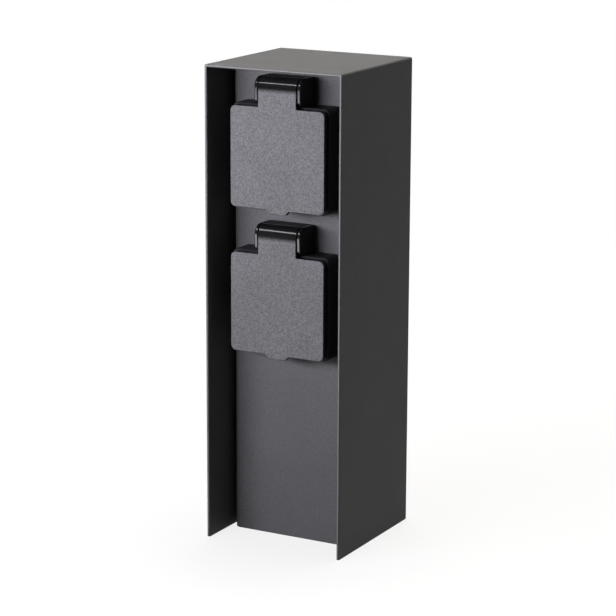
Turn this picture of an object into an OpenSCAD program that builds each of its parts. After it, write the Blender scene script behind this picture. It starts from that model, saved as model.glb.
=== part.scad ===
// Garden socket post: a folded steel hood over a recessed panel that carries two sockets
// with spring-closed lids. Millimetres. +Z is up, the front faces -Y, and the origin is
// the middle of the footprint, at ground level.

/* [Post] */
// Outside width of the hood
post_w = 80; // [72:1:120]
// Outside depth of the hood
post_d = 80; // [76:1:120]
// Overall height
post_h = 255; // [235:1:400]
// Thickness of the folded steel sheet
sheet_t = 1.5; // [1:0.1:2]
// Outside radius of the sheet's bends
bend_r = 1; // [0.5:0.1:4]

/* [Front panel] */
// How far the panel lies behind the hood's front edges
panel_setback = 22; // [19:0.5:26]
// Slot between each side of the panel and the hood's wall
side_slot = 2.5; // [2:0.1:6]
// Outside radius of the panel's folds
panel_bend_r = 4; // [2:0.1:5]
// Gap between the panel's top edge and the hood
panel_top_gap = 0.5; // [0.2:0.1:3]
// Width of the rear lips that the hood is screwed to
lip_w = 13; // [11:0.5:18]

/* [Sockets] */
// Clearance between the upper hinge and the hood's top
top_clear = 3.7; // [3.5:0.1:20]
// Clearance between the upper lid's tab and the lower hinge
socket_gap = 6.2; // [5:0.1:30]
// How far the socket frame stands out from the panel
frame_out = 13; // [11.5:0.5:15]
// Frame's sides standing out past the lid
frame_side = 0.8; // [-2:0.1:1.5]
// Frame's top and bottom standing out past the lid
frame_over = 0.9; // [0:0.1:1.5]
// Corner radius of the frame
frame_corner_r = 3; // [1:0.5:5]
// Thickness of the rubber gasket behind the frame
gasket_t = 1; // [0.5:0.1:2]

/* [Plug well] */
// Inside diameter of the plug well
well_d = 39.5; // [37:0.1:42]
// Depth of the plug well
well_depth = 17.5; // [14:0.5:19]
// Wall of the plug well
well_wall = 1.8; // [1.2:0.1:2.2]
// Floor of the plug well
well_floor_t = 4; // [3:0.5:6]
// Collar that traps the well between frame and panel
collar_w = 1.95; // [1:0.05:3]
// Distance between the two pin holes
pin_pitch = 19; // [18:0.1:20]
// Diameter of the pin holes in the well's floor
pin_hole_d = 6; // [5:0.1:6.6]
// Width of the guide ribs at the well's sides
rib_w = 4.4; // [3:0.1:6]
// Height of the guide ribs
rib_h = 1.5; // [0.8:0.1:2]

/* [Lid] */
// Width of the lid
lid_w = 55.2; // [52:0.1:60]
// Height of the lid's plate
lid_h = 53.2; // [50:0.1:60]
// Thickness of the lid
lid_t = 3; // [2.4:0.1:4]
// Corner radius of the lid
lid_corner_r = 3; // [1:0.1:6]
// How far the rubber seal holds the lid off the frame
seal_proud = 1; // [0.6:0.1:2]
// Width of the seal ring
seal_w = 2.3; // [1.5:0.1:2.8]
// Depth of the seal's groove in the lid
seal_groove = 1; // [0.5:0.1:1.4]
// Width of the neck that joins the lid to its hinge
neck_w = 22.4; // [18:0.1:28]
// Height of the neck, from the plate's top to the hinge axis
neck_h = 9.9; // [9:0.1:14]
// Width of the finger tab at its root
tab_w = 13.8; // [10:0.1:20]
// Drop of the finger tab below the plate
tab_drop = 2.2; // [1:0.1:4]
// Slope of the finger tab's ends
tab_slope = 2; // [0.5:0.1:4]

/* [Hinge] */
// Diameter of the lid's hinge barrel
barrel_d = 11; // [10:0.1:12]
// Thickness of the frame's hinge ears
ear_t = 2.2; // [1.8:0.1:3.5]
// Side play between barrel and ears
ear_play = 0.2; // [0.1:0.05:0.6]
// Gap between the barrel and the frame behind it
barrel_gap = 0.4; // [0.3:0.05:1]
// Rounding of the hinge block's top corners
ear_round = 2; // [0.5:0.1:2.2]
// Diameter of the hinge pin
pin_d = 3; // [2.4:0.1:3.4]
// Radial running clearance of the barrel on the pin
pin_play = 0.05; // [0.02:0.01:0.1]
// Wire diameter of the closing spring
spring_wire_d = 0.7; // [0.5:0.05:0.8]
// Number of turns in the closing spring
spring_turns = 4; // [2:1:5]
// Clear gap between neighbouring turns
spring_turn_gap = 0.5; // [0.45:0.05:0.7]

/* [Contacts] */
// Length of the contact housing behind the well
housing_len = 24.5; // [22:0.5:26]
// Outside diameter of the contact housing
housing_d = 41; // [40:0.1:42]
// Outside diameter of a contact sleeve
sleeve_d = 7; // [6.4:0.1:7.4]
// Bore of a contact sleeve
sleeve_bore_d = 4.9; // [4.85:0.05:5.2]
// Thickness of the brass earth strap
strap_t = 1; // [0.8:0.1:1.2]
// Width of the brass earth strap
strap_w = 7; // [5:0.1:7]
// Depth of the brass terminal at a contact's rear
terminal_len = 8; // [7:0.5:9]
// Distance between a terminal's two wire holes
wire_pitch = 10; // [9:0.5:11]

/* [Base] */
// Thickness of the steel base bracket
base_t = 2; // [1.5:0.1:3]
// Gap between the base bracket's foot and the panel in front of it
base_front_gap = 3.5; // [2:0.1:8]
// Height of the base bracket's side upstands
upstand_h = 22; // [20:0.5:30]
// Width of the base bracket's rear tab
tab_plate_w = 40; // [39:0.5:42]
// Height of the base bracket's rear tab
tab_plate_h = 78; // [76:0.5:90]
// Diameter of the ground fixing holes
ground_hole_d = 6.5; // [5:0.1:8]
// Spacing of the ground fixing holes across the post
ground_pitch_x = 42; // [38:0.5:43]
// Distance of the ground fixing holes from the foot's front and rear edges
ground_edge = 7.5; // [6:0.5:9]

/* [Cable gland] */
// Height of the cable entry above the ground
entry_h = 19; // [17:0.5:24]
// Bore of the gland's rubber seal
cable_bore_d = 10; // [8:0.1:11]
// Diameter of the gland's thread
gland_thread_d = 20; // [19:0.1:21]
// Size of the gland's hexagon across its flats
gland_af = 24; // [23:0.1:26]
// Width of the cable notch in the hood's back
notch_w = 18; // [14:0.5:22]

/* [Terminal block] */
// Width of the terminal block
block_w = 38; // [37:0.5:39]
// Depth of the terminal block
block_d = 16; // [15:0.5:18]
// Height of the terminal block
block_h = 20; // [18:0.5:24]
// Height of the terminal block's underside above the ground
block_z = 52; // [50:0.5:54]
// Distance between the terminal block's poles
pole_pitch = 12; // [11.5:0.1:12.5]
// Diameter of the insulated wires
wire_d = 2.8; // [2.2:0.1:2.9]

/* [Fasteners] */
// Thread diameter of the small screws
m3_d = 3; // [2.5:0.1:3.2]
// Thread diameter of the earth screw
earth_screw_d = 4; // [3.5:0.1:4.4]
// Clearance added to a screw hole's radius
hole_play = 0.2; // [0.1:0.05:0.3]
// Thickness of the pressed-in nuts
nut_t = 3; // [2:0.1:4]

/* [Hidden] */
$fn = 64;
cut = 1;
join = 0.01;
inner_w = post_w - 2 * sheet_t;
bend_inner_r = max(bend_r - sheet_t, 0.3);
panel_bend_inner_r = max(panel_bend_r - sheet_t, 0.3);
panel_w = inner_w - 2 * side_slot;
panel_h = post_h - sheet_t - panel_top_gap;
panel_y = -post_d / 2 + panel_setback;
back_y = post_d / 2 - sheet_t;
chassis_in = panel_w / 2 - sheet_t;

frame_w = lid_w + 2 * frame_side;
frame_h = lid_h + 2 * frame_over;
lid_back = frame_out + seal_proud;
lid_front = lid_back + lid_t;
barrel_r = barrel_d / 2;
hinge_y = -(lid_front - barrel_r);
hinge_z = lid_h / 2 + neck_h;
hinge_top = hinge_z + barrel_r;
ear_in = neck_w / 2 + ear_play;
ear_out = ear_in + ear_t;
ear_root = 4;
ear_root_z = frame_h / 2 - ear_root;
nose_back = 0.5;
nose_drop = 3;
block_rim = 2;
upper_z = post_h - sheet_t - top_clear - hinge_top;
lower_z = upper_z - lid_h / 2 - tab_drop - socket_gap - hinge_top;
socket_zs = [lower_z, upper_z];

well_r = well_d / 2;
well_out_r = well_r + well_wall;
fit_gap = 0.1;
collar_r = well_out_r + collar_w;
collar_t = 3;
well_floor_y = -frame_out + well_depth;
housing_y = well_floor_y + well_floor_t;
housing_end = housing_y + housing_len;
head_r = 0.925 * m3_d;
head_h = 0.65 * m3_d;
slot_w = 0.8;
head_gap = 0.4;
flange_r = collar_r + head_r + head_gap + fit_gap;
flange_at = flange_r / sqrt(2);
flange_seat = -6;
flange_len = 11;
seal_r = well_out_r + seal_w / 2;
cutout_gap = 0.45;
cutout_r = well_out_r + cutout_gap;
gasket_inset = 0.5;

pin_r = pin_d / 2;
spring_wire_r = spring_wire_d / 2;
spring_clear = 0.4;
spring_r = pin_r + spring_wire_d + spring_clear;
spring_pitch = spring_wire_d + spring_turn_gap;
room_clear = 0.6;
spring_room_r = spring_r + spring_wire_r + room_clear;
spring_room_len = spring_turns * spring_pitch + 2 * spring_wire_d + 2 * spring_clear;
spring_leg = 0.6 * ear_t;
ear_skin = 0.8;
pin_short = 0.2;

terminal_w = 8;
web_w = 4;
web_h = 8;
terminal_rim = 3;
terminal_floor = 2;
terminal_h = wire_pitch + 2 * terminal_rim;
terminal_y = housing_end - terminal_len;
wire_hole_r = wire_d / 2 + fit_gap;
wire_run = 8;
wire_lead = 3;
wire_ease = 1;
wire_round = 1.6;
wire_turn = 4.6;
wire_sweep = 12;
wire_straight = 4;
wire_lean = 2;
wire_rise = 13;
pole_depth = 5;
wire_depth = terminal_len - terminal_floor;
strap_slot = strap_w + 2 * fit_gap;
tongue_clear = 2;
tongue_z = well_r - tongue_clear - strap_t;
tongue_tip_y = well_floor_y - 0.7 * well_depth;
housing_screw_wall = 0.7;
housing_screw_turn = 47.4;
housing_screw_r = housing_d / 2 - head_r - hole_play - housing_screw_wall;
housing_screw = housing_screw_r * [cos(housing_screw_turn), sin(housing_screw_turn)];
housing_sink = 6;
housing_seat = housing_end - housing_sink;
well_skin = 1;
end_gap = 0.5;
rib_start = 1;
sleeve_gap = 0.5;
sleeve_floor = 1;
slit_len = 10;
tongue_bow = 1.2;
tongue_lead = 4;

gland_hex_t = 5;
gland_nut_len = 9.5;
gland_clear = 2;
plate_back = back_y - gland_hex_t - gland_nut_len - gland_clear;
tab_y = plate_back - base_t;
tab_round = 4;
base_front = panel_y + sheet_t + base_front_gap;
base_d = plate_back - base_front;
ground_pitch_y = base_d - 2 * ground_edge;
ground_y = base_front + base_d / 2;
upstand_screw_lift = 1;
upstand_screw_z = upstand_h / 2 + upstand_screw_lift;
upstand_edge = 4;
upstand_rear = 7;
upstand_y = base_front + upstand_edge;
upstand_d = base_d - upstand_edge - upstand_rear;
base_screw_y = 0.32 * upstand_d;
spigot_len = 4;
locknut_t = 5;
thread_over = 2;
gland_in_y = tab_y - locknut_t - thread_over;
gland_step = 1;
gland_bore_r = cable_bore_d / 2 + gland_step;
spigot_step = 1;
spigot_r = gland_thread_d / 2 - spigot_step;
spigot_wall = 1.5;
seal_out_r = spigot_r - spigot_wall;
gland_nut_step = 1;
gland_nut_af = gland_af - gland_nut_step;
dome = 4;
dome_lip = 3;
pole_y = tab_y - block_d / 2;
sleeve_r = 2.6;
sleeve_sink = 1;
clamp_sink = 2;
screw_over = 1.5;
pole_bore_r = 1.6;
pole_xs = [-pole_pitch, 0, pole_pitch];
clamp_zs = [block_z + block_h * 0.26, block_z + block_h * 0.74];
lug_y = upstand_y + upstand_d / 2;
lug_drop = 5;
lug_z = upstand_h - lug_drop;
crimp_rise = 5;
crimp_len = 7;
crimp_grip = 4;
bond_straight = 3;
bond_ease = 3;
bond_turn = 9;
bond_low = 13;
crimp_top = lug_z + crimp_rise + crimp_len;
lug_face = -chassis_in + base_t;
lug_t = 1;
lug_stem_w = 4;
lug_gap = 0.4;
crimp_wall = 0.8;
lug_x = lug_face + wire_d / 2 + crimp_wall + lug_gap;

hood_screw_x = panel_w / 2 - (lip_w + panel_bend_r) / 2;
hood_screw_low = 36;
hood_screw_drop = 30;
hood_screw_zs = [hood_screw_low, post_h - hood_screw_drop];
csk_r = 0.92 * m3_d;
csk_depth = csk_r - m3_d / 2;

coat = "#4a4b4e";
black = "#1c1c1e";
lid_grey = "#3a3b3d";
rubber = "#121212";
steel = "#b9bcc0";
brass = "#c9a24a";

// Extrudes an outline drawn in X and Z from y0 to y1
module plate_y(y0, y1) {
    translate([0, y1, 0])
        rotate([90, 0, 0])
            linear_extrude(y1 - y0)
                children();
}

// Extrudes an outline drawn in Y and Z from x0 to x1
module plate_x(x0, x1) {
    translate([x0, 0, 0])
        rotate([90, 0, 90])
            linear_extrude(x1 - x0)
                children();
}

// Round bar along Y
module rod_y(r, y0, y1) {
    translate([0, y0, 0])
        rotate([-90, 0, 0])
            cylinder(r = r, h = y1 - y0);
}

// Round bar along X
module rod_x(r, x0, x1) {
    translate([x0, 0, 0])
        rotate([0, 90, 0])
            cylinder(r = r, h = x1 - x0);
}

// Hexagon bar along Y, given across its flats
module hex_y(af, y0, y1) {
    translate([0, y0, 0])
        rotate([-90, 0, 0])
            cylinder(d = af / cos(30), h = y1 - y0, $fn = 6);
}

// Rectangle from [x0, z0] to [x1, z1]
module area(x0, z0, x1, z1) {
    translate([x0, z0])
        square([x1 - x0, z1 - z0]);
}

// Centred rectangle with four round corners
module rounded(w, h, r) {
    square([w - 2 * r, h], center = true);
    square([w, h - 2 * r], center = true);
    for (sx = [-1, 1], sz = [-1, 1])
        translate([sx * (w / 2 - r), sz * (h / 2 - r)])
            circle(r = r);
}

// Rectangle standing on the axis, with its two top corners round
module arch(w, h, r) {
    area(-w / 2, 0, w / 2, h - r);
    area(-w / 2 + r, 0, w / 2 - r, h);
    for (sx = [-1, 1])
        translate([sx * (w / 2 - r), h - r])
            circle(r = r);
}

module at_socket(z) {
    translate([0, panel_y, z])
        children();
}

module at_flange_screws() {
    for (sx = [-1, 1], sz = [-1, 1])
        translate([sx * flange_at, 0, sz * flange_at])
            children();
}

module at_hood_screws() {
    for (sx = [-1, 1], z = hood_screw_zs)
        translate([sx * hood_screw_x, post_d / 2, z])
            children();
}

// Places a child that faces +Y on each side of the chassis, facing outwards
module at_base_screws() {
    for (sx = [0, 1], dy = [-1, 1])
        mirror([sx, 0, 0])
            translate([panel_w / 2, lug_y + dy * base_screw_y, upstand_screw_z])
                rotate([0, 0, -90])
                    children();
}

module at_housing_screws() {
    for (s = [-1, 1])
        translate([s * housing_screw[0], 0, s * housing_screw[1]])
            children();
}

// Cheese-head screw along Y: the head stands in front of y, the shank runs behind it
module slot_screw_y(y, len, r) {
    difference() {
        union() {
            rod_y(head_r, y - head_h, y);
            rod_y(r, y, y + len);
        }
        translate([-head_r, y - head_h - cut, -slot_w / 2])
            cube([2 * head_r, cut + head_h / 2, slot_w]);
    }
}

function unit(v) = v / norm(v);

// Point on the curve through b and c, with a and d as their neighbours
function curve(a, b, c, d, t) =
    0.5 * (2 * b + (c - a) * t + (2 * a - 5 * b + 4 * c - d) * t ^ 2 + (3 * b - a - 3 * c + d) * t ^ 3);

// Smooth path through hand-placed points
function smooth(p, steps) = [
    for (i = [0 : len(p) - 2], k = [0 : steps - 1])
        curve(p[max(i - 1, 0)], p[i], p[i + 1], p[min(i + 2, len(p) - 1)], k / steps),
    p[len(p) - 1]
];

// Unbroken tube along a path, with one side vector for each of its points
module tube(path, side, r, sides) {
    last = len(path) - 1;
    points = [
        for (i = [0 : last])
            let (
                t = unit(path[min(i + 1, last)] - path[max(i - 1, 0)]),
                a = unit(side[i] - (side[i] * t) * t),
                b = cross(t, a)
            )
            for (k = [0 : sides - 1])
                path[i] + r * (cos(360 * k / sides) * a + sin(360 * k / sides) * b)
    ];
    walls = [
        for (i = [0 : last - 1], k = [0 : sides - 1])
            let (
                p = i * sides + k,
                q = i * sides + (k + 1) % sides
            )
            each [[p, p + sides, q + sides], [p, q + sides, q]]
    ];
    caps = [
        for (k = [1 : sides - 2])
            each [[0, k, k + 1], [last * sides, last * sides + k + 1, last * sides + k]]
    ];
    polyhedron(points = points, faces = concat(walls, caps));
}

// Insulated wire through hand-placed points
module wire(points, side) {
    path = smooth(points, 4);
    tube(path, [for (p = path) side], wire_d / 2, 8);
}

// Solid block of the hood's outside, grown past its open front and foot by extra
module hood_block(inset, r, extra) {
    w = post_w - 2 * inset;
    back = post_d / 2 - inset;
    depth = back + post_d / 2 + extra;
    high = post_h - inset;
    intersection() {
        translate([0, back - depth, -extra])
            linear_extrude(high + extra)
                arch(w, depth, r);
        plate_y(back - depth, back)
            translate([0, -extra])
                arch(w, high + extra, r);
        plate_x(-w / 2, w / 2)
            union() {
                area(back - depth, -extra, back - r, high);
                area(back - depth, -extra, back, high - r);
                translate([back - r, high - r])
                    circle(r = r);
            }
    }
}

module hood() {
    color(coat)
        difference() {
            hood_block(0, bend_r, 0);
            hood_block(sheet_t, bend_inner_r, cut);
            plate_y(back_y - cut, post_d / 2 + cut)
                union() {
                    area(-notch_w / 2, -cut, notch_w / 2, entry_h);
                    translate([0, entry_h])
                        circle(d = notch_w);
                }
            at_hood_screws()
                csk_hole();
        }
}

// Countersunk head along Y, flush with y = 0
module csk_head(extra) {
    translate([0, -csk_depth, 0])
        rotate([-90, 0, 0])
            cylinder(r1 = m3_d / 2 + extra, r2 = csk_r + extra, h = csk_depth);
}

// Countersunk hole through one sheet whose outside is at y = 0
module csk_hole() {
    rod_y(m3_d / 2 + hole_play, -sheet_t - cut, cut);
    csk_head(hole_play / 4);
}

// Countersunk screw with a cross recess, its head flush with y = 0
module csk_screw(len) {
    difference() {
        union() {
            csk_head(0);
            rod_y(m3_d / 2, -len, -csk_depth);
        }
        for (turn = [0, 90])
            rotate([0, turn, 0])
                translate([-csk_r * 0.6, -csk_depth / 2, -slot_w / 2])
                    cube([csk_r * 1.2, cut, slot_w]);
    }
}

module front_chassis() {
    color(coat)
        difference() {
            linear_extrude(panel_h)
                translate([0, (panel_y + back_y) / 2])
                    difference() {
                        rounded(panel_w, back_y - panel_y, panel_bend_r);
                        rounded(2 * chassis_in, back_y - panel_y - 2 * sheet_t, panel_bend_inner_r);
                        translate([-panel_w / 2 + lip_w, 0])
                            square([panel_w - 2 * lip_w, back_y - panel_y]);
                    }
            for (z = socket_zs)
                at_socket(z) {
                    rod_y(cutout_r, -cut, sheet_t + cut);
                    at_flange_screws()
                        rod_y(m3_d / 2 + hole_play, -cut, sheet_t + cut);
                }
            at_hood_screws()
                rod_y(m3_d / 2 + hole_play, -2 * sheet_t - cut, 0);
            at_base_screws()
                csk_hole();
        }
}

module base_bracket() {
    color(steel)
        difference() {
            union() {
                translate([-chassis_in, base_front, 0])
                    cube([2 * chassis_in, base_d, base_t]);
                for (s = [0, 1])
                    mirror([s, 0, 0])
                        translate([chassis_in - base_t, upstand_y, 0])
                            cube([base_t, upstand_d, upstand_h]);
                plate_y(tab_y, plate_back)
                    arch(tab_plate_w, tab_plate_h, tab_round);
            }
            for (sx = [-1, 1], sy = [-1, 1])
                translate([sx * ground_pitch_x / 2, ground_y + sy * ground_pitch_y / 2, -cut])
                    cylinder(d = ground_hole_d, h = base_t + 2 * cut);
            at_base_screws()
                rod_y(m3_d / 2, -sheet_t - base_t - cut, 0);
            translate([0, 0, entry_h])
                rod_y(gland_thread_d / 2 + hole_play, tab_y - cut, plate_back + cut);
            at_block_screws()
                rod_y(m3_d / 2, tab_y - cut, plate_back + cut);
            translate([0, lug_y, lug_z])
                rod_x(earth_screw_d / 2, -chassis_in - cut, -chassis_in + base_t + cut);
        }
}

module hood_screws() {
    color(steel)
        at_hood_screws()
            csk_screw(2 * sheet_t + nut_t);
}

module pressed_nuts() {
    color(steel) {
        at_hood_screws()
            nut(-2 * sheet_t - nut_t);
        for (z = socket_zs)
            at_socket(z)
                at_flange_screws()
                    nut(sheet_t);
    }
}

module nut(y) {
    difference() {
        rod_y(m3_d, y, y + nut_t);
        rod_y(m3_d / 2, y - cut, y + nut_t + cut);
    }
}

module base_screws() {
    color(steel)
        at_base_screws()
            csk_screw(sheet_t + 2 * base_t);
}

module gland_body() {
    rim = plate_back + gland_hex_t + spigot_len;
    color(black)
        translate([0, 0, entry_h])
            difference() {
                union() {
                    rod_y(gland_thread_d / 2, gland_in_y, plate_back);
                    hex_y(gland_af, plate_back, plate_back + gland_hex_t);
                    rod_y(spigot_r, plate_back, rim);
                }
                rod_y(gland_bore_r, gland_in_y - cut, plate_back + cut);
                rod_y(seal_out_r, plate_back, rim + cut);
            }
}

module gland_locknut() {
    color(black)
        translate([0, 0, entry_h])
            difference() {
                hex_y(gland_af, tab_y - locknut_t, tab_y);
                rod_y(gland_thread_d / 2, tab_y - locknut_t - cut, tab_y + cut);
            }
}

module gland_seal() {
    rim = plate_back + gland_hex_t + spigot_len;
    color(rubber)
        translate([0, 0, entry_h])
            difference() {
                rod_y(seal_out_r, plate_back, rim);
                rod_y(cable_bore_d / 2, plate_back - cut, rim + cut);
            }
}

module gland_nut() {
    start = plate_back + gland_hex_t;
    rim = start + gland_nut_len;
    color(black)
        translate([0, 0, entry_h])
            difference() {
                union() {
                    hex_y(gland_nut_af, start, rim - dome);
                    translate([0, rim - dome, 0])
                        rotate([-90, 0, 0])
                            cylinder(r1 = gland_nut_af / 2, r2 = gland_bore_r + dome_lip, h = dome);
                }
                rod_y(spigot_r, start - cut, start + spigot_len);
                rod_y(gland_bore_r, start, rim + cut);
            }
}

module at_poles() {
    for (x = pole_xs)
        translate([x, pole_y, 0])
            children();
}

module at_block_screws() {
    for (s = [-1, 1])
        translate([s * pole_pitch / 2, 0, block_z + block_h / 2])
            children();
}

module at_clamp_screws() {
    for (x = pole_xs, z = clamp_zs)
        translate([x, 0, z])
            children();
}

module terminal_block() {
    front = tab_y - block_d;
    color("#d8d8d2")
        difference() {
            translate([-block_w / 2, front, block_z])
                cube([block_w, block_d, block_h]);
            at_poles()
                translate([0, 0, block_z - cut])
                    cylinder(r = sleeve_r, h = block_h + 2 * cut);
            at_clamp_screws()
                rod_y(m3_d / 2 + hole_play, front - cut, pole_y);
            at_block_screws() {
                rod_y(m3_d / 2 + hole_play, front - cut, tab_y + cut);
                rod_y(head_r + hole_play, front - cut, front + block_d / 2);
            }
        }
}

module terminal_sleeves() {
    color(brass)
        difference() {
            at_poles()
                translate([0, 0, block_z + sleeve_sink])
                    cylinder(r = sleeve_r, h = block_h - 2 * sleeve_sink);
            at_poles()
                translate([0, 0, block_z])
                    cylinder(r = pole_bore_r, h = block_h);
            at_clamp_screws()
                rod_y(m3_d / 2, tab_y - block_d, pole_y);
        }
}

module terminal_clamp_screws() {
    front = tab_y - block_d;
    color(steel)
        at_clamp_screws()
            difference() {
                rod_y(m3_d / 2, front + clamp_sink, pole_y - pole_bore_r);
                translate([-m3_d, front, -slot_w / 2])
                    cube([2 * m3_d, clamp_sink + slot_w, slot_w]);
            }
}

module block_screws() {
    color(steel)
        at_block_screws()
            slot_screw_y(pole_y, block_d / 2 + base_t + screw_over, m3_d / 2);
}

// Last stretch of a wire: along the rear of the sockets, round a bend and into a terminal.
// The wire comes from below for side = -1 and from above for side = 1.
function wire_end(x, z, side) =
    let (
        rear = panel_y + housing_end,
        bend = wire_run - wire_round
    )
    [
        [x, rear + wire_run - wire_ease, z + side * wire_sweep],
        [x, rear + bend, z + side * wire_turn],
        [x, rear + wire_lead, z],
        [x, rear, z],
        [x, rear - wire_depth, z]
    ];

function backwards(list) = [for (i = [len(list) - 1 : -1 : 0]) list[i]];

// Wires from one pole of the block to the lower socket, and on to the upper one
module pole_wires(pole, x) {
    run_y = panel_y + housing_end + wire_run;
    low = block_z + block_h;
    in_z = lower_z - wire_pitch / 2;
    out_z = lower_z + wire_pitch / 2;
    top_z = upper_z - wire_pitch / 2;
    rise = [
        [pole, pole_y, low - pole_depth],
        [pole, pole_y, low + wire_straight],
        [pole, pole_y + wire_lean, low + wire_rise],
        [(pole + x) / 2, (pole_y + run_y) / 2, (low + in_z) / 2]
    ];
    middle = [[x, run_y, (out_z + top_z) / 2]];
    wire(concat(rise, wire_end(x, in_z, -1)), [1, 0, 0]);
    wire(concat(backwards(wire_end(x, out_z, 1)), middle, wire_end(x, top_z, -1)), [1, 0, 0]);
}

module line_wires() {
    color("#6b4423")
        pole_wires(pole_pitch, pin_pitch / 2);
}

module neutral_wires() {
    color("#2f62b0")
        pole_wires(-pole_pitch, -pin_pitch / 2);
}

module earth_wires() {
    color("#8fae2f")
        pole_wires(0, 0);
}

module bonding_wire() {
    color("#8fae2f")
        wire([
            [0, pole_y, block_z + pole_depth],
            [0, pole_y, block_z - bond_straight],
            [-bond_ease, pole_y - wire_ease, block_z - bond_turn],
            [lug_x / 2, (pole_y + lug_y) / 2, block_z - bond_low],
            [lug_x + bond_ease, lug_y, block_z - bond_low - wire_lean],
            [lug_x, lug_y, crimp_top + crimp_grip],
            [lug_x, lug_y, crimp_top + wire_ease],
            [lug_x, lug_y, crimp_top - crimp_grip]
        ], [0, 1, 0]);
}

// Ring lug: an eye flat on the upstand and a crimped barrel for the bonding wire
module earth_lug() {
    color(brass)
        translate([0, lug_y, 0])
            difference() {
                union() {
                    translate([0, 0, lug_z])
                        rod_x(earth_screw_d, lug_face, lug_face + lug_t);
                    translate([lug_face, -lug_stem_w / 2, lug_z])
                        cube([lug_t, lug_stem_w, crimp_top - crimp_grip - lug_z]);
                    translate([lug_x, 0, crimp_top - crimp_len])
                        cylinder(r = wire_d / 2 + crimp_wall, h = crimp_len);
                }
                translate([0, 0, lug_z])
                    rod_x(earth_screw_d / 2 + fit_gap, lug_face - cut, lug_face + lug_t + cut);
                translate([lug_x, 0, crimp_top - crimp_grip])
                    cylinder(r = wire_hole_r, h = crimp_grip + cut);
            }
}

module earth_screw() {
    seat = lug_face + lug_t;
    earth_head_r = 0.85 * earth_screw_d;
    earth_head_h = 0.5 * earth_screw_d;
    color(steel)
        translate([0, lug_y, lug_z])
            difference() {
                union() {
                    rod_x(earth_head_r, seat, seat + earth_head_h);
                    rod_x(earth_screw_d / 2, -chassis_in, seat);
                }
                translate([seat + earth_head_h / 2, -slot_w / 2, -earth_screw_d])
                    cube([earth_head_h, slot_w, 2 * earth_screw_d]);
            }
}

// Side view of a hinge ear: round nose on the hinge axis, root on the frame
module ear_side() {
    translate([hinge_y, hinge_z])
        circle(r = barrel_r);
    polygon([
        [-gasket_t, ear_root_z],
        [-gasket_t, hinge_top],
        [hinge_y, hinge_top],
        [hinge_y - barrel_r, hinge_z],
        [hinge_y - barrel_r + nose_back, lid_h / 2 + nose_drop],
        [-frame_out, lid_h / 2 + nose_back],
        [-frame_out, ear_root_z]
    ]);
}

module socket_frame() {
    color(black)
        difference() {
            union() {
                plate_y(-frame_out, -gasket_t)
                    rounded(frame_w, frame_h, frame_corner_r);
                intersection() {
                    union() {
                        for (s = [0, 1])
                            mirror([s, 0, 0])
                                plate_x(ear_in, ear_out)
                                    ear_side();
                        plate_x(-ear_in - join, ear_in + join)
                            area(-frame_out, ear_root_z, -gasket_t, hinge_top);
                    }
                    plate_y(-lid_front - cut, cut)
                        arch(2 * ear_out, hinge_top, ear_round);
                }
            }
            translate([0, hinge_y, hinge_z]) {
                rod_x(barrel_r + barrel_gap, -ear_in, ear_in);
                rod_x(pin_r, -ear_out - cut, ear_out - ear_skin);
                translate([0, spring_r, 0])
                    rod_x(spring_wire_r + fit_gap, 0, ear_in + spring_leg);
            }
            plate_x(-ear_in, ear_in)
                area(-lid_front, hinge_z, hinge_y + barrel_r - block_rim, hinge_top + cut);
            rod_y(well_out_r + fit_gap, -frame_out - cut, 0);
            rod_y(collar_r + fit_gap, -collar_t, 0);
            at_flange_screws() {
                rod_y(m3_d / 2 + hole_play, -frame_out - cut, 0);
                rod_y(head_r + head_gap, -frame_out - cut, flange_seat);
            }
        }
}

module socket_gasket() {
    color(rubber)
        difference() {
            plate_y(-gasket_t, 0)
                rounded(frame_w - 2 * gasket_inset, frame_h - 2 * gasket_inset, frame_corner_r);
            rod_y(collar_r + fit_gap, -gasket_t - cut, cut);
            at_flange_screws()
                rod_y(m3_d / 2 + hole_play, -gasket_t - cut, cut);
        }
}

module flange_screws() {
    color(steel)
        at_flange_screws()
            slot_screw_y(flange_seat, flange_len, m3_d / 2);
}

module socket_lid() {
    foot = -lid_h / 2;
    color(lid_grey)
        difference() {
            union() {
                plate_y(-lid_front, -lid_back) {
                    rounded(lid_w, lid_h, lid_corner_r);
                    area(-neck_w / 2, 0, neck_w / 2, hinge_z);
                    polygon([
                        [-tab_w / 2, foot + join],
                        [tab_w / 2, foot + join],
                        [tab_w / 2 - tab_slope, foot - tab_drop],
                        [-tab_w / 2 + tab_slope, foot - tab_drop]
                    ]);
                }
                translate([0, hinge_y, hinge_z])
                    rod_x(barrel_r, -neck_w / 2, neck_w / 2);
            }
            translate([0, hinge_y, hinge_z]) {
                rod_x(pin_r + pin_play, -neck_w / 2 - cut, neck_w / 2 + cut);
                rod_x(spring_room_r, neck_w / 2 - spring_room_len, neck_w / 2 + cut);
            }
            seal_ring(-lid_back - seal_groove, -lid_back + cut);
        }
}

module seal_ring(y0, y1) {
    difference() {
        rod_y(seal_r + seal_w / 2, y0, y1);
        rod_y(seal_r - seal_w / 2, y0 - cut, y1 + cut);
    }
}

module lid_seal() {
    color(rubber)
        seal_ring(-lid_back - seal_groove, -frame_out);
}

module hinge_pin() {
    color(steel)
        translate([0, hinge_y, hinge_z])
            rod_x(pin_r, -ear_out + pin_short, ear_out - ear_skin);
}

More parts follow.
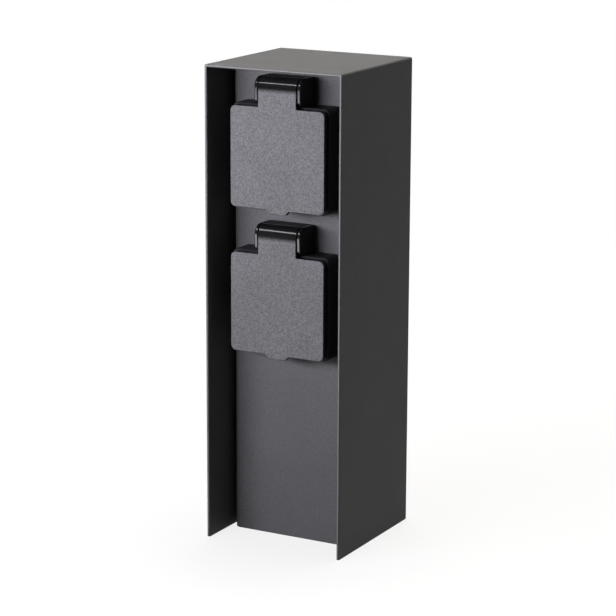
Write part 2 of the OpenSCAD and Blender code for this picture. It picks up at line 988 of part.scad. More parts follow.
// Torsion spring round the pin: close turns, then a straight leg into the ear
module lid_spring() {
    rings = 8;
    first = neck_w / 2 - spring_room_len + room_clear + spring_wire_r;
    coil = [
        for (i = [0 : spring_turns * rings])
            let (turn = 360 * i / rings)
            [first + spring_pitch * i / rings, spring_r * cos(turn), spring_r * sin(turn)]
    ];
    end_x = coil[len(coil) - 1][0];
    leg = [
        for (x = [end_x + spring_wire_d, ear_in + spring_leg])
            [x, spring_r, 0]
    ];
    path = concat(coil, leg);
    side = [for (p = path) [0, p[1], p[2]]];
    gap = min([for (i = [0 : len(coil) - 1 - rings]) norm(coil[i + rings] - coil[i])]) - spring_wire_d;
    echo(least_gap_between_turns = gap);
    color(steel)
        translate([0, hinge_y, hinge_z])
            tube(path, side, spring_wire_r, 6);
}

module plug_well() {
    rib_y = -frame_out + rib_start;
    rib_len = well_floor_y + well_floor_t / 2 - rib_y;
    color(black)
        difference() {
            union() {
                difference() {
                    union() {
                        rod_y(well_out_r, -frame_out, housing_y);
                        rod_y(collar_r, -collar_t, 0);
                    }
                    rod_y(well_r, -frame_out - cut, well_floor_y);
                }
                for (s = [0, 1])
                    mirror([s, 0, 0])
                        translate([well_r - rib_h, rib_y, -rib_w / 2])
                            cube([rib_h + well_wall / 2, rib_len, rib_w]);
            }
            for (s = [-1, 1]) {
                translate([s * pin_pitch / 2, 0, 0])
                    rod_y(pin_hole_d / 2, well_floor_y - cut, housing_y + cut);
                translate([-strap_slot / 2, well_floor_y - cut, s * (tongue_z + strap_t / 2) - strap_t])
                    cube([strap_slot, well_floor_t + 2 * cut, 2 * strap_t]);
            }
            at_housing_screws()
                rod_y(m3_d / 2, well_floor_y + well_skin, housing_y + cut);
        }
}

module contact_housing() {
    bridge_h = 2 * (tongue_z + strap_t + fit_gap);
    color("#3c3c3e")
        difference() {
            rod_y(housing_d / 2, housing_y, housing_end);
            for (s = [-1, 1])
                translate([s * pin_pitch / 2, 0, 0]) {
                    rod_y(sleeve_d / 2 + fit_gap, housing_y - cut, terminal_y);
                    terminal_pocket();
                }
            terminal_pocket(strap_slot);
            translate([-strap_slot / 2, housing_y - cut, -bridge_h / 2])
                cube([strap_slot, cut + strap_t + fit_gap, bridge_h]);
            translate([-web_w / 2 - fit_gap, housing_y, -web_h / 2 - fit_gap])
                cube([web_w + 2 * fit_gap, housing_len, web_h + 2 * fit_gap]);
            at_housing_screws() {
                rod_y(m3_d / 2 + hole_play, housing_y - cut, housing_end + cut);
                rod_y(head_r + hole_play, housing_seat, housing_end + cut);
            }
        }
}

module terminal_pocket(w = terminal_w + 2 * fit_gap) {
    h = terminal_h + 2 * fit_gap;
    translate([-w / 2, terminal_y, -h / 2])
        cube([w, terminal_len + cut, h]);
}

// Brass terminal: two wire holes and a clamp screw hole, open to the rear
module terminal(w) {
    difference() {
        translate([-w / 2, terminal_y, -terminal_h / 2])
            cube([w, terminal_len, terminal_h]);
        for (s = [-1, 1])
            translate([0, 0, s * wire_pitch / 2])
                rod_y(wire_hole_r, housing_end - wire_depth, housing_end + cut);
        rod_y(m3_d / 2, housing_end - wire_depth, housing_end + cut);
    }
}

module pin_contact(side) {
    sleeve_y = housing_y + sleeve_gap;
    color(brass)
        translate([side * pin_pitch / 2, 0, 0]) {
            terminal(terminal_w);
            difference() {
                rod_y(sleeve_d / 2, sleeve_y, terminal_y);
                rod_y(sleeve_bore_d / 2, sleeve_y - cut, terminal_y - sleeve_floor);
                translate([-sleeve_d, sleeve_y - cut, -slot_w / 2])
                    cube([2 * sleeve_d, slit_len, slot_w]);
            }
        }
}

// Earth strap: a bridge behind the well with two sprung tongues that reach into it
module earth_contact() {
    color(brass) {
        terminal(strap_w);
        translate([-web_w / 2, housing_y + strap_t / 2, -web_h / 2])
            cube([web_w, terminal_y - housing_y, web_h]);
        translate([-strap_w / 2, housing_y, -tongue_z])
            cube([strap_w, strap_t, 2 * tongue_z]);
        for (s = [0, 1])
            mirror([0, 0, s])
                plate_x(-strap_w / 2, strap_w / 2)
                    polygon([
                        [housing_y + strap_t, tongue_z - join],
                        [housing_y + strap_t, tongue_z + strap_t],
                        [well_floor_y, tongue_z + strap_t],
                        [tongue_tip_y + tongue_lead, tongue_z + strap_t - tongue_bow],
                        [tongue_tip_y, tongue_z + strap_t],
                        [tongue_tip_y, tongue_z],
                        [tongue_tip_y + tongue_lead, tongue_z - tongue_bow],
                        [well_floor_y, tongue_z - join]
                    ]);
    }
}

module terminal_screws() {
    color(steel)
        for (x = [-pin_pitch / 2, 0, pin_pitch / 2])
            translate([x, 2 * housing_end, 0])
                mirror([0, 1, 0])
                    slot_screw_y(housing_end, wire_depth - end_gap, m3_d / 2);
}

module housing_screws() {
    len = housing_seat - well_floor_y - well_skin - end_gap;
    color(steel)
        at_housing_screws()
            translate([0, 2 * housing_seat, 0])
                mirror([0, 1, 0])
                    slot_screw_y(housing_seat, len, m3_d / 2);
}

hood();
front_chassis();
base_bracket();
hood_screws();
pressed_nuts();
base_screws();
gland_body();
gland_locknut();
gland_seal();
gland_nut();
terminal_block();
terminal_sleeves();
terminal_clamp_screws();
block_screws();
line_wires();
neutral_wires();
earth_wires();
bonding_wire();
earth_lug();
earth_screw();
at_socket(upper_z) socket_frame();  // upper_frame
at_socket(upper_z) socket_gasket();  // upper_gasket
at_socket(upper_z) flange_screws();  // upper_flange_screws
at_socket(upper_z) socket_lid();  // upper_lid
at_socket(upper_z) lid_seal();  // upper_lid_seal
at_socket(upper_z) hinge_pin();  // upper_hinge_pin
at_socket(upper_z) lid_spring();  // upper_lid_spring
at_socket(upper_z) plug_well();  // upper_plug_well
at_socket(upper_z) contact_housing();  // upper_contact_housing
at_socket(upper_z) pin_contact(1);  // upper_line_contact
at_socket(upper_z) pin_contact(-1);  // upper_neutral_contact
at_socket(upper_z) earth_contact();  // upper_earth_contact
at_socket(upper_z) terminal_screws();  // upper_terminal_screws
at_socket(upper_z) housing_screws();  // upper_housing_screws
at_socket(lower_z) socket_frame();  // lower_frame
at_socket(lower_z) socket_gasket();  // lower_gasket
at_socket(lower_z) flange_screws();  // lower_flange_screws
at_socket(lower_z) socket_lid();  // lower_lid
at_socket(lower_z) lid_seal();  // lower_lid_seal
at_socket(lower_z) hinge_pin();  // lower_hinge_pin
at_socket(lower_z) lid_spring();  // lower_lid_spring
at_socket(lower_z) plug_well();  // lower_plug_well
at_socket(lower_z) contact_housing();  // lower_contact_housing
at_socket(lower_z) pin_contact(1);  // lower_line_contact
at_socket(lower_z) pin_contact(-1);  // lower_neutral_contact
at_socket(lower_z) earth_contact();  // lower_earth_contact
at_socket(lower_z) terminal_screws();  // lower_terminal_screws
at_socket(lower_z) housing_screws();  // lower_housing_screws
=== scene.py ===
# Garden socket post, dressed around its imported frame. Metres, +Z up, the front faces -Y.
import math

import bmesh
import bpy
from mathutils import Matrix, Vector


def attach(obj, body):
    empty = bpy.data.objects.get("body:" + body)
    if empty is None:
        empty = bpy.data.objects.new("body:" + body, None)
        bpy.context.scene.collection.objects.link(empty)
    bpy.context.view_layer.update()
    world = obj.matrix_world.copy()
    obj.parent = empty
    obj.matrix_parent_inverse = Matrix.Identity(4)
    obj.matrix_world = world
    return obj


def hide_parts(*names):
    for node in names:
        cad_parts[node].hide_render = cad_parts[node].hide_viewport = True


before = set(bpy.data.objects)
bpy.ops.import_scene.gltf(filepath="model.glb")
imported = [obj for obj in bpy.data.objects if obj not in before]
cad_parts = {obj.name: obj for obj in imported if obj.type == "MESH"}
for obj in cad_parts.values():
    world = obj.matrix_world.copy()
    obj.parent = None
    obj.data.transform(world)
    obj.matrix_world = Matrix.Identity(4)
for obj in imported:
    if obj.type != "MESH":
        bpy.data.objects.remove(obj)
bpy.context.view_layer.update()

# Camera: a long lens to the right of the post and a little above it, rolled by a fifth of a
# degree. It stands 1.26 m away and aims just under the middle of the hood.
TURN, TILT, ROLL = (math.radians(a) for a in (28.584, 13.351, 0.221))
AIM, AWAY = Vector((-0.0004, -0.0002, 0.1227)), 1.2607
LENS, FILM_W = 138.32, 36
camera_back = Vector((
    math.sin(TURN) * math.cos(TILT), -math.cos(TURN) * math.cos(TILT), math.sin(TILT),
))
level = Vector((math.cos(TURN), math.sin(TURN), 0))
upright = camera_back.cross(level)
camera_right = level * math.cos(ROLL) + upright * math.sin(ROLL)
camera_up = upright * math.cos(ROLL) - level * math.sin(ROLL)
camera = bpy.data.objects.new("camera", bpy.data.cameras.new("camera"))
camera.data.lens = LENS
camera.data.sensor_width = FILM_W
camera.matrix_world = Matrix((camera_right, camera_up, camera_back)).transposed().to_4x4()
camera.location = AIM + camera_back * AWAY
bpy.context.scene.collection.objects.link(camera)
bpy.context.scene.camera = camera

# Hood: one steel sheet folded round the back and both sides, with the top welded in and ground
# flush. It is open at the front and foot, and powder coated dark grey with a fine texture.
MM = 0.001
HOOD_W, HOOD_D, HOOD_H = 80, 80, 255
SHEET = 1.5
FOLD_OUT, FOLD_IN, FOLD_STEPS = 1, 0.3, 5
FRONT_RIM, NOTCH_RIM, RIM_STEPS = 0.6, 0.3, 3
NOTCH_R, NOTCH_H = 9, 19
HOOD_SCREWS = [(x, z) for x in (-27.5, 27.5) for z in (36, 225)]
SCREW_R, SINK_R, SINK_DEPTH = 1.7, 2.81, 1.2
CUT_IN, CUT_OUT, CLEAR = 4, 1, 2  # how far cutters run into, out of and clear of the sheet
HAIR = 0.01  # near enough to count as touching
SHARP = math.radians(38)  # faces that meet at more than this keep a crisp edge
FRONTWARD = -0.9  # normals beyond this look to the front


def facing(axis, origin=(0, 0, 0)):
    """Puts a flat point (u, v) at a depth along one axis, in millimetres from origin."""
    shift = Vector(origin)
    if axis == "x":
        return lambda u, v, d: (Vector((d, u, v)) + shift) * MM
    if axis == "y":
        return lambda u, v, d: (Vector((u, d, v)) + shift) * MM
    return lambda u, v, d: (Vector((u, v, d)) + shift) * MM


def skin(bm, rings):
    """Faces between neighbouring closed rings of vertices."""
    for a, b in zip(rings, rings[1:]):
        for i in range(len(a)):
            j = (i + 1) % len(a)
            bm.faces.new((a[i], a[j], b[j], b[i]))


def turned(bm, profile, place, steps=48, ring=False):
    """Turned solid from (radius, depth) points: a ring if its profile closes, else capped."""
    rings = []
    for r, d in profile:
        angles = [math.tau * k / steps for k in range(steps)]
        rings.append([bm.verts.new(place(r * math.cos(a), r * math.sin(a), d)) for a in angles])
    if ring:
        skin(bm, rings + rings[:1])
    else:
        skin(bm, rings)
        bm.faces.new(rings[0])
        bm.faces.new(rings[-1])
    bmesh.ops.recalc_face_normals(bm, faces=bm.faces)
    return bm


def rounded(corners, steps=6):
    """Closed outline through (u, v, radius) corners, each turned into an arc of its radius."""
    line = []
    for i, (u, v, r) in enumerate(corners):
        here = Vector((u, v))
        if r == 0:
            line.append(here)
            continue
        a = (Vector(corners[i - 1][:2]) - here).normalized()
        b = (Vector(corners[(i + 1) % len(corners)][:2]) - here).normalized()
        half = a.angle(b) / 2
        centre = here + (a + b).normalized() * (r / math.sin(half))
        start = here + a * (r / math.tan(half)) - centre
        end = here + b * (r / math.tan(half)) - centre
        first = math.atan2(start.y, start.x)
        sweep = (math.atan2(end.y, end.x) - first + math.pi) % math.tau - math.pi
        for k in range(steps + 1):
            angle = first + sweep * k / steps
            line.append(centre + Vector((math.cos(angle), math.sin(angle))) * r)
    return line


def slab(bm, outline, holes, low, high, place, soft_low=0.0, soft_high=0.0, steps=3):
    """Plate between two depths with through holes, its rims rounded by the two soft radii."""

    def inset(loop, by):
        moved = []
        for i, p in enumerate(loop):
            a = (p - loop[i - 1]).normalized()
            b = (loop[(i + 1) % len(loop)] - p).normalized()
            left = Vector((-a.y - b.y, a.x + b.x))
            moved.append(p + left * (by / (1 + a.dot(b))))
        return moved

    def rim(soft, depth, side):
        if soft == 0:
            return [(0, depth)]
        angles = [math.pi / 2 * k / steps for k in range(steps + 1)]
        return [
            (soft * (1 - math.sin(a)), depth + side * soft * (1 - math.cos(a))) for a in angles
        ]

    caps = ([], [])
    for loop in [outline] + holes:
        levels = rim(soft_low, low, 1) + rim(soft_high, high, -1)[::-1]
        rings = []
        for by, depth in levels:
            rings.append([bm.verts.new(place(p.x, p.y, depth)) for p in inset(loop, by)])
        skin(bm, rings)
        for cap, ring in zip(caps, (rings[0], rings[-1])):
            cap += [bm.edges.get((ring[i - 1], ring[i])) for i in range(len(ring))]
    for cap in caps:
        bmesh.ops.triangle_fill(bm, use_beauty=True, use_dissolve=False, edges=cap)
    bmesh.ops.recalc_face_normals(bm, faces=bm.faces)
    return bm


def combine(body, tools, how):
    """The body after each tool is taken from it (DIFFERENCE) or joined to it (UNION)."""
    blanks = []
    for bm in [body] + tools:
        blank = bpy.data.objects.new("blank", bpy.data.meshes.new("blank"))
        bm.to_mesh(blank.data)
        bm.free()
        bpy.context.scene.collection.objects.link(blank)
        blanks.append(blank)
    for tool in blanks[1:]:
        step = blanks[0].modifiers.new("combine", "BOOLEAN")
        step.object = tool
        step.operation = how
        step.solver = "EXACT"
    made = bmesh.new()
    depsgraph = bpy.context.evaluated_depsgraph_get()
    made.from_mesh(blanks[0].evaluated_get(depsgraph).to_mesh())
    for blank in blanks:
        bpy.data.meshes.remove(blank.data)
    return made


def piece(name, bm, material, body, nodes):
    """Finished piece: smooth faces with sharp folds, riding on a body in place of its nodes."""
    mesh = bpy.data.meshes.new(name)
    bm.to_mesh(mesh)
    bm.free()
    mesh.shade_smooth()
    mesh.set_sharp_from_angle(angle=SHARP)
    mesh.materials.append(material)
    obj = bpy.data.objects.new(name, mesh)
    bpy.context.scene.collection.objects.link(obj)
    obj.modifiers.new("even shading", "WEIGHTED_NORMAL").keep_sharp = True
    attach(obj, body)
    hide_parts(*nodes)
    return obj


def ramp(tree, value, reach, to=(0, 1)):
    """A value carried evenly from one range to another, and held at its ends."""
    node = tree.nodes.new("ShaderNodeMapRange")
    sockets = ("From Min", "From Max", "To Min", "To Max")
    for socket, number in zip(sockets, (*reach, *to)):
        node.inputs[socket].default_value = number
    tree.links.new(value, node.inputs["Value"])
    return node.outputs["Result"]


def joined(tree, how, a, b):
    """Two values put together by that operation."""
    node = tree.nodes.new("ShaderNodeMath")
    node.operation = how
    tree.links.new(a, node.inputs[0])
    tree.links.new(b, node.inputs[1])
    return node.outputs[0]


def surface(
    name, colour, rough, metal=0.0, specular=0.5, grain=0.5, mottle=0.15, depth=0.01, cloud=0.08,
):
    """Procedural finish. Its colour and roughness vary with a grain of that size in millimetres and
    with broad clouds; depth is the height of the grain in millimetres."""
    cloud_size, uneven = 28, 0.12
    grain_detail, cloud_detail = 3, 2
    grain_reach, cloud_reach = (0.25, 0.75), (0.3, 0.7)
    material = bpy.data.materials.new(name)
    material.use_nodes = True
    tree = material.node_tree
    shader = tree.nodes["Principled BSDF"]
    shader.inputs["Metallic"].default_value = metal
    shader.inputs["Specular IOR Level"].default_value = specular
    where = tree.nodes.new("ShaderNodeTexCoord")

    def noise(size, detail):
        node = tree.nodes.new("ShaderNodeTexNoise")
        node.inputs["Scale"].default_value = 1 / (size * MM)
        node.inputs["Detail"].default_value = detail
        tree.links.new(where.outputs["Object"], node.inputs["Vector"])
        return node.outputs["Fac"]

    fine, broad = noise(grain, grain_detail), noise(cloud_size, cloud_detail)
    fine_shade = ramp(tree, fine, grain_reach, (1 - mottle, 1 + mottle))
    broad_shade = ramp(tree, broad, cloud_reach, (1 - cloud, 1 + cloud))
    tint = tree.nodes.new("ShaderNodeVectorMath")
    tint.operation = "SCALE"
    tint.inputs[0].default_value = colour
    tree.links.new(joined(tree, "MULTIPLY", fine_shade, broad_shade), tint.inputs["Scale"])
    tree.links.new(tint.outputs[0], shader.inputs["Base Color"])
    dull = (rough * (1 - uneven), min(rough * (1 + uneven), 1))
    tree.links.new(ramp(tree, fine, grain_reach, dull), shader.inputs["Roughness"])
    bump = tree.nodes.new("ShaderNodeBump")
    bump.inputs["Distance"].default_value = depth * MM
    tree.links.new(fine, bump.inputs["Height"])
    tree.links.new(bump.outputs["Normal"], shader.inputs["Normal"])
    return material


coat = surface(
    "powder coat", (0.115, 0.1155, 0.118), rough=0.58,
    specular=0.14, grain=0.7, mottle=0.2, depth=0.04, cloud=0.05,
)
# The sheet's front edges: the coat's colour lightened to paint the highlight they catch, and a
# little smoother.
edge_coat_painted_highlight = surface(
    "coat on the sheet's edge, lightened as painted highlight", (0.25, 0.252, 0.232), rough=0.42,
    specular=0.3, grain=0.6, mottle=0.2, depth=0.02, cloud=0.05,
)


def round_off(bm, edges, by, steps):
    """Rounds those edges by a radius in millimetres."""
    bmesh.ops.bevel(
        bm, geom=edges, offset=by * MM, offset_type="OFFSET", segments=steps, profile=0.5,
        affect="EDGES", clamp_overlap=False,
    )


def soften(bm, by, wanted):
    """Rounds the square edges whose ends both lie where wanted says."""
    square_turn = 0.9
    edges = [e for e in bm.edges if e.calc_face_angle(0) > square_turn]
    edges = [e for e in edges if all(wanted(v.co / MM) for v in e.verts)]
    round_off(bm, edges, by, RIM_STEPS)


def folded_skin(wall, bend):
    """Mesh of the hood's skin that far inside its outside, with its five folds rounded."""
    bm = bmesh.new()
    half, front, rear, top = HOOD_W / 2 - wall, -HOOD_D / 2, HOOD_D / 2 - wall, HOOD_H - wall
    at = {}
    for x in (-1, 1):
        for y in (front, rear):
            for z in (0, top):
                at[x, y, z] = bm.verts.new(Vector((x * half, y, z)) * MM)
    bm.faces.new([at[1, y, z] for y, z in ((front, 0), (rear, 0), (rear, top), (front, top))])
    bm.faces.new([at[-1, y, z] for y, z in ((rear, 0), (front, 0), (front, top), (rear, top))])
    bm.faces.new([at[x, rear, z] for x, z in ((1, 0), (-1, 0), (-1, top), (1, top))])
    bm.faces.new([at[x, y, top] for x, y in ((-1, front), (1, front), (1, rear), (-1, rear))])
    round_off(bm, [e for e in bm.edges if len(e.link_faces) == 2], bend, FOLD_STEPS)
    mesh = bpy.data.meshes.new("skin")
    bm.to_mesh(mesh)
    bm.free()
    return mesh


def countersink(place, out=1):
    """Cutter for one countersunk screw hole, the sheet's outside at depth 0 on the out side."""
    profile = ((SCREW_R, -CUT_IN), (SCREW_R, -SINK_DEPTH), (SINK_R, 0), (SINK_R, CUT_OUT))
    return turned(bmesh.new(), [(r, d * out) for r, d in profile], place)


hood = bmesh.new()
for wall, bend in ((0, FOLD_OUT), (SHEET, FOLD_IN)):
    hood.from_mesh(folded_skin(wall, bend))
hood.verts.index_update()
hood.verts.ensure_lookup_table()
inside = len(hood.verts) // 2
for edge in [e for e in hood.edges if e.is_boundary]:
    a, b = (v.index for v in edge.verts)
    if a < inside:
        hood.faces.new([hood.verts[k] for k in (a, b, b + inside, a + inside)])
bmesh.ops.recalc_face_normals(hood, faces=hood.faces)
front, rear, crown = -HOOD_D / 2, HOOD_D / 2, NOTCH_H + NOTCH_R
soften(hood, FRONT_RIM, lambda p: p.y < front + HAIR)
notch = rounded([
    (-NOTCH_R, -CLEAR, 0), (NOTCH_R, -CLEAR, 0),
    (NOTCH_R, crown, NOTCH_R - HAIR), (-NOTCH_R, crown, NOTCH_R - HAIR),
], steps=12)
cutters = [slab(bmesh.new(), notch, [], rear - 2 * SHEET, rear + CLEAR, facing("y"))]
cutters += [countersink(facing("y", (x, rear, z))) for x, z in HOOD_SCREWS]
hood = combine(hood, cutters, "DIFFERENCE")
soften(
    hood, NOTCH_RIM,
    lambda p: abs(p.x) < NOTCH_R + HAIR and p.y > rear - CLEAR and p.z < crown + HAIR,
)
hood = piece("hood", hood, coat, "root", ["hood"])
hood.data.materials.append(edge_coat_painted_highlight)
# Faces on the front edges take the lightened coat, a painted highlight along them.
for face in hood.data.polygons:
    if face.normal.y < FRONTWARD and face.center.y < (front + 3 * HAIR) * MM:
        face.material_index = 1

# Front chassis: sheet steel folded back at both sides, with lips behind that the hood is screwed
# to. The front is the recessed panel. Coated with the hood's powder.
PANEL_W, PANEL_Y, PANEL_H, PANEL_FOLD = 72, -18, 253, 4
BACK_Y, LIP_W, PANEL_RIM = 38.5, 13, 0.25
SOCKETS = {"upper": 207.8, "lower": 130.8}
SOCKET_R, FLANGE = 22, 18.93
FLANGE_SCREWS = [(x, up) for x in (-FLANGE, FLANGE) for up in (-FLANGE, FLANGE)]
BASE_SCREWS = [(y, 12) for y in (-4.68, 10.68)]
AHEAD, BEHIND = -3, 4  # how far drills run before and behind the panel


def drill(r, low, high, place, steps=16):
    """Cutter for a plain round hole between two depths."""
    return turned(bmesh.new(), [(r, low), (r, high)], place, steps)


side, fold_in = PANEL_W / 2, PANEL_FOLD - SHEET
inner, lip = side - SHEET, side - LIP_W
lip_y, panel_back = BACK_Y - SHEET, PANEL_Y + SHEET
outline = rounded([
    (-lip, BACK_Y, 0), (-side, BACK_Y, PANEL_FOLD), (-side, PANEL_Y, PANEL_FOLD),
    (side, PANEL_Y, PANEL_FOLD), (side, BACK_Y, PANEL_FOLD), (lip, BACK_Y, 0),
    (lip, lip_y, 0), (inner, lip_y, fold_in), (inner, panel_back, fold_in),
    (-inner, panel_back, fold_in), (-inner, lip_y, fold_in), (-lip, lip_y, 0),
], steps=8)
chassis = slab(bmesh.new(), outline, [], 0, PANEL_H, facing("z"), PANEL_RIM, PANEL_RIM)
cutters = []
for z in SOCKETS.values():
    cutters.append(drill(SOCKET_R, AHEAD, BEHIND, facing("y", (0, PANEL_Y, z)), steps=64))
    for x, up in FLANGE_SCREWS:
        cutters.append(drill(SCREW_R, AHEAD, BEHIND, facing("y", (x, PANEL_Y, z + up))))
for x, z in HOOD_SCREWS:
    cutters.append(drill(SCREW_R, AHEAD, CUT_OUT, facing("y", (x, BACK_Y, z))))
for y, z in BASE_SCREWS:
    cutters += [countersink(facing("x", (out * side, y, z)), out) for out in (-1, 1)]
chassis = combine(chassis, cutters, "DIFFERENCE")
piece("front_chassis", chassis, coat, "root", ["front_chassis"])

# Base bracket: zinc-plated steel plate bent up at both sides and behind, with four holes for the
# ground screws. Countersunk screws hold it in the chassis, and others hold the hood behind.
WELD_GAP = 0.001  # points nearer than this become one
FLAT_TURN, EDGE_TURN, EDGE_STEPS = math.radians(1), math.radians(40), 2


def dress(material, edge, *names):
    """Gives carried-over nodes their finish and rounds their sharp edges by edge millimetres."""
    for name in names:
        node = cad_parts[name]
        node.material_slots[0].material = material
        node.modifiers.new("one skin", "WELD").merge_threshold = WELD_GAP * MM
        flat = node.modifiers.new("whole faces", "DECIMATE")
        flat.decimate_type = "DISSOLVE"
        flat.angle_limit = FLAT_TURN
        soft = node.modifiers.new("soft edges", "BEVEL")
        soft.width = edge * MM
        soft.segments = EDGE_STEPS
        soft.limit_method = "ANGLE"
        soft.angle_limit = EDGE_TURN
        node.modifiers.new("even shading", "WEIGHTED_NORMAL")


zinc = surface(
    "zinc plate", (0.56, 0.57, 0.58), rough=0.36,
    metal=1.0, grain=1.8, mottle=0.08, depth=0.004, cloud=0.12,
)
blackened = surface(
    "blackened steel", (0.035, 0.035, 0.037), rough=0.42,
    metal=0.6, grain=0.6, mottle=0.15, depth=0.005,
)
dress(zinc, 0.25, "base_bracket")
dress(zinc, 0.1, "base_screws", "pressed_nuts")
dress(blackened, 0.08, "hood_screws")

# Cable gland: black polyamide body and locknut through the bracket's rear tab, a soft rubber seal
# in its mouth and a cap nut that squeezes it. Its hexagons have rounded corners.
ENTRY_H, ENTRY_R, GLAND_Y, GLAND_R, GLAND_LEN = 19, 5, 22, 7.5, 9
polyamide = surface(
    "black polyamide", (0.016, 0.016, 0.017), rough=0.42, grain=0.5, mottle=0.2, depth=0.008,
)
rubber = surface(
    "black rubber", (0.014, 0.014, 0.0145), rough=0.8,
    specular=0.3, grain=0.35, mottle=0.25, depth=0.015,
)
dress(polyamide, 0.35, "gland_body", "gland_locknut", "gland_nut")
profile = [
    (ENTRY_R + 0.4, 0), (GLAND_R, 0), (GLAND_R, GLAND_LEN - 0.4), (GLAND_R - 0.4, GLAND_LEN),
    (ENTRY_R + 0.7, GLAND_LEN), (ENTRY_R + 0.15, GLAND_LEN - 0.3), (ENTRY_R, GLAND_LEN - 1),
    (ENTRY_R, 0.6),
]
seal = turned(bmesh.new(), profile, facing("y", (0, GLAND_Y, ENTRY_H)), steps=64, ring=True)
piece("gland_seal", seal, rubber, "root", ["gland_seal"])

# Terminal block: pale polyamide with three brass sleeves and their clamp screws, screwed to the
# bracket's tab. The earth lug is brass, under a plated screw on the bracket's side.
pale_polyamide = surface(
    "pale polyamide", (0.7, 0.69, 0.63), rough=0.45,
    grain=0.7, mottle=0.03, depth=0.006, cloud=0.04,
)
brass = surface(
    "bright brass", (0.78, 0.56, 0.25), rough=0.26,
    metal=1.0, grain=0.5, mottle=0.06, depth=0.003, cloud=0.1,
)
dress(pale_polyamide, 0.4, "terminal_block")
dress(brass, 0.12, "terminal_sleeves", "earth_lug")
dress(zinc, 0.1, "terminal_clamp_screws", "block_screws", "earth_screw")

# Wires: stranded copper in coloured insulation, run from the block behind the lower socket and on
# to the upper one, each end straight in its terminal. The earths are green with a yellow side.
WIRE_R, REAR, RUN = 1.4, 15, 8  # radius, the housings' backs, and the run behind them
TURN_START, TURN_END, LEAD, GRIP, BLOCK_GRIP = 12, 4.6, 3, 6, 5  # last bend and clamped end
POLE_X, POLE_Y, TERMINAL_X, TERMINAL_Z, BLOCK_TOP = 12, 12, 9.5, 5, 72
IN_Z, OUT_Z = SOCKETS["lower"] - TERMINAL_Z, SOCKETS["lower"] + TERMINAL_Z
TOP_Z = SOCKETS["upper"] - TERMINAL_Z
BOND = [
    (0, 12, 57), (0, 12, 49), (-3, 11, 43), (-14.95, 7.5, 39), (-26.9, 3, 37), (-29.9, 3, 33),
    (-29.9, 3, 30), (-29.9, 3, 25),
]


def strand(name, routes, radius, material, node):
    """Round wire along one or more routes, smoothed between its points."""
    steps = 8
    curve = bpy.data.curves.new(name, "CURVE")
    curve.dimensions = "3D"
    curve.bevel_depth = radius * MM
    curve.bevel_resolution = 4
    curve.use_fill_caps = True
    for route in routes:
        points = [Vector(p) for p in route]
        line = []
        for k in range(len(points) - 1):
            a, b, c, d = (points[min(max(k + j, 0), len(points) - 1)] for j in (-1, 0, 1, 2))
            for t in (i / steps for i in range(steps)):
                bend = (2 * a - 5 * b + 4 * c - d) * t ** 2 + (3 * b - a - 3 * c + d) * t ** 3
                line.append(0.5 * (2 * b + (c - a) * t + bend))
        line.append(points[-1])
        spline = curve.splines.new("POLY")
        spline.points.add(len(line) - 1)
        for point, place in zip(spline.points, line):
            point.co = (*(place * MM), 1)
        spline.use_smooth = True
    curve.materials.append(material)
    obj = bpy.data.objects.new(name, curve)
    bpy.context.scene.collection.objects.link(obj)
    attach(obj, "root")
    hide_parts(node)


def into_terminal(x, z, side):
    """Last stretch of a wire, into the terminal at that height from below (-1) or above (1)."""
    bend = REAR + RUN
    turn = [(x, bend - 1, z + side * TURN_START), (x, bend - 1.6, z + side * TURN_END)]
    return turn + [(x, REAR + LEAD, z), (x, REAR, z), (x, REAR - GRIP, z)]


def pole_routes(pole, x):
    """The two wires of one pole: block to lower socket, lower socket to upper socket."""
    rise = [
        (pole, POLE_Y, BLOCK_TOP - BLOCK_GRIP), (pole, POLE_Y, BLOCK_TOP + 4),
        (pole, POLE_Y + 2, BLOCK_TOP + 13),
        ((pole + x) / 2, (POLE_Y + REAR + RUN) / 2, (BLOCK_TOP + IN_Z) / 2),
    ]
    link = into_terminal(x, OUT_Z, 1)[::-1] + [(x, REAR + RUN, (OUT_Z + TOP_Z) / 2)]
    return [rise + into_terminal(x, IN_Z, -1), link + into_terminal(x, TOP_Z, -1)]


def insulation(name, colour):
    """Smooth coloured insulation."""
    return surface(name, colour, rough=0.35, grain=1.2, mottle=0.08, depth=0.004)


brown = insulation("brown insulation", (0.13, 0.05, 0.022))
blue = insulation("blue insulation", (0.02, 0.1, 0.4))
striped = insulation("green and yellow insulation", (0.05, 0.3, 0.05))
tree = striped.node_tree
striped_colour = tree.nodes["Principled BSDF"].inputs["Base Color"]
green = striped_colour.links[0].from_socket
facets = tree.nodes.new("ShaderNodeSeparateXYZ")
tree.links.new(tree.nodes["Texture Coordinate"].outputs["Normal"], facets.inputs[0])
two_tone = tree.nodes.new("ShaderNodeMix")
two_tone.data_type = "RGBA"
two_tone.inputs["B"].default_value = (0.75, 0.55, 0.03, 1)
tree.links.new(ramp(tree, facets.outputs["X"], (0.15, 0.25)), two_tone.inputs["Factor"])
tree.links.new(green, two_tone.inputs["A"])
tree.links.new(two_tone.outputs["Result"], striped_colour)
line_run, neutral_run = pole_routes(POLE_X, TERMINAL_X), pole_routes(-POLE_X, -TERMINAL_X)
strand("line_wires", line_run, WIRE_R, brown, "line_wires")
strand("neutral_wires", neutral_run, WIRE_R, blue, "neutral_wires")
strand("earth_wires", pole_routes(0, 0), WIRE_R, striped, "earth_wires")
strand("bonding_wire", [BOND], WIRE_R, striped, "bonding_wire")

